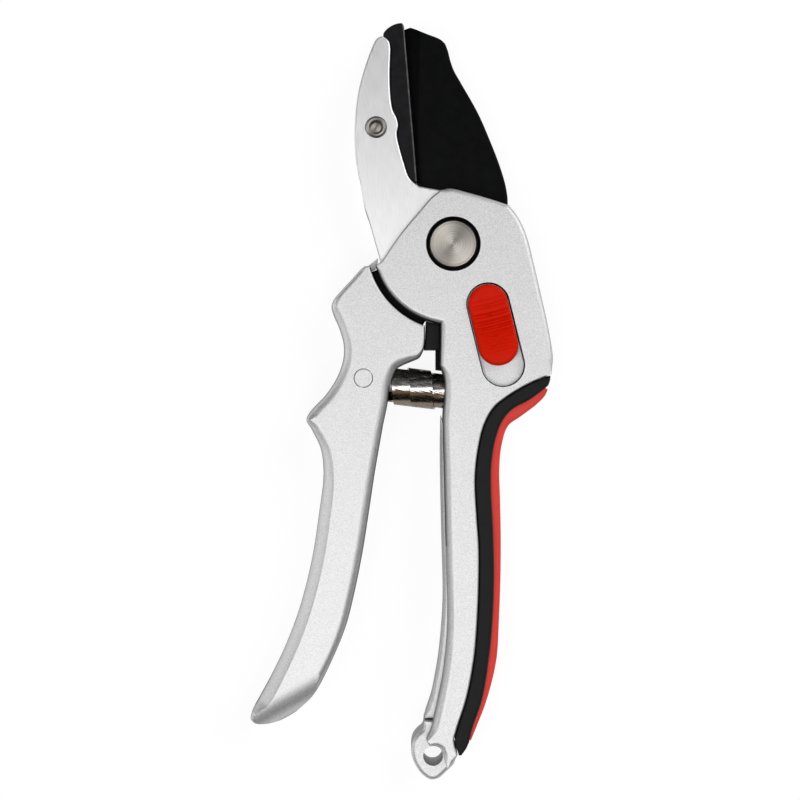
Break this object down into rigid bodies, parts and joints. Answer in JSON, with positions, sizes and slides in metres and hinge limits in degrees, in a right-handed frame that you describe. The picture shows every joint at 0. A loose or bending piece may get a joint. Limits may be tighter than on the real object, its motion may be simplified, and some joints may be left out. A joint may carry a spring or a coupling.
{
  "type": "pruning shears",
  "caption": "Anvil pruning shears, closed and locked: black blade on a flat anvil, curved silver handles, soft outer grips, wound opening spring and sliding lock.",
  "frame": {"origin": "on the pivot axis, at the closed back face of the pivot nut, which lies in the plane of both handles' backs", "axes": "+Z is the pivot axis, from the back to the front with the bolt head and the lock slide; +Y runs along the shears towards the jaws; +X is the blade's side"},
  "size_m": [0.082, 0.2064, 0.0176],
  "materials": {
    "cast_aluminium": "sandblasted satin",
    "bare_steel": "turned, satin",
    "blade_coating": "smooth low-friction coating",
    "anvil_coating": "satin coating",
    "spring_steel": "bright",
    "bronze": "oiled",
    "black_rubber": "matt",
    "red_rubber": "matt",
    "red_plastic": "satin"
  },
  "bodies": {
    "anvil_side": {"anvil_handle": "cast_aluminium", "anvil": "anvil_coating", "anvil_screw": "bare_steel", "anvil_nut": "bare_steel", "pivot_bolt": "bare_steel", "pivot_nut": "bare_steel", "pivot_bushing": "bronze", "pivot_washer_front": "bronze", "pivot_washer_rear": "bronze", "grip_black": "black_rubber", "grip_red": "red_rubber", "closing_bumper": "black_rubber", "lock_detent_ball": "bare_steel", "lock_detent_spring": "spring_steel", "spring": "spring_steel"},
    "blade_side": {"blade_handle": "cast_aluminium", "blade": "blade_coating", "blade_pin": "bare_steel"},
    "lock": {"lock_slider": "red_plastic", "lock_peg": "bare_steel", "lock_retainer": "spring_steel"}
  },
  "joints": [
    {"name": "handle_pivot", "type": "hinge", "parent": "anvil_side", "child": "blade_side", "pos_m": [0, 0, 0.008], "axis": [0, 0, -1], "range_deg": [0, 26], "deforming": ["spring"]},
    {"name": "lock_slide", "type": "slide", "parent": "anvil_side", "child": "lock", "axis": [0.2386, -0.9711, 0], "range_m": [0, 0.0054]}
  ]
}
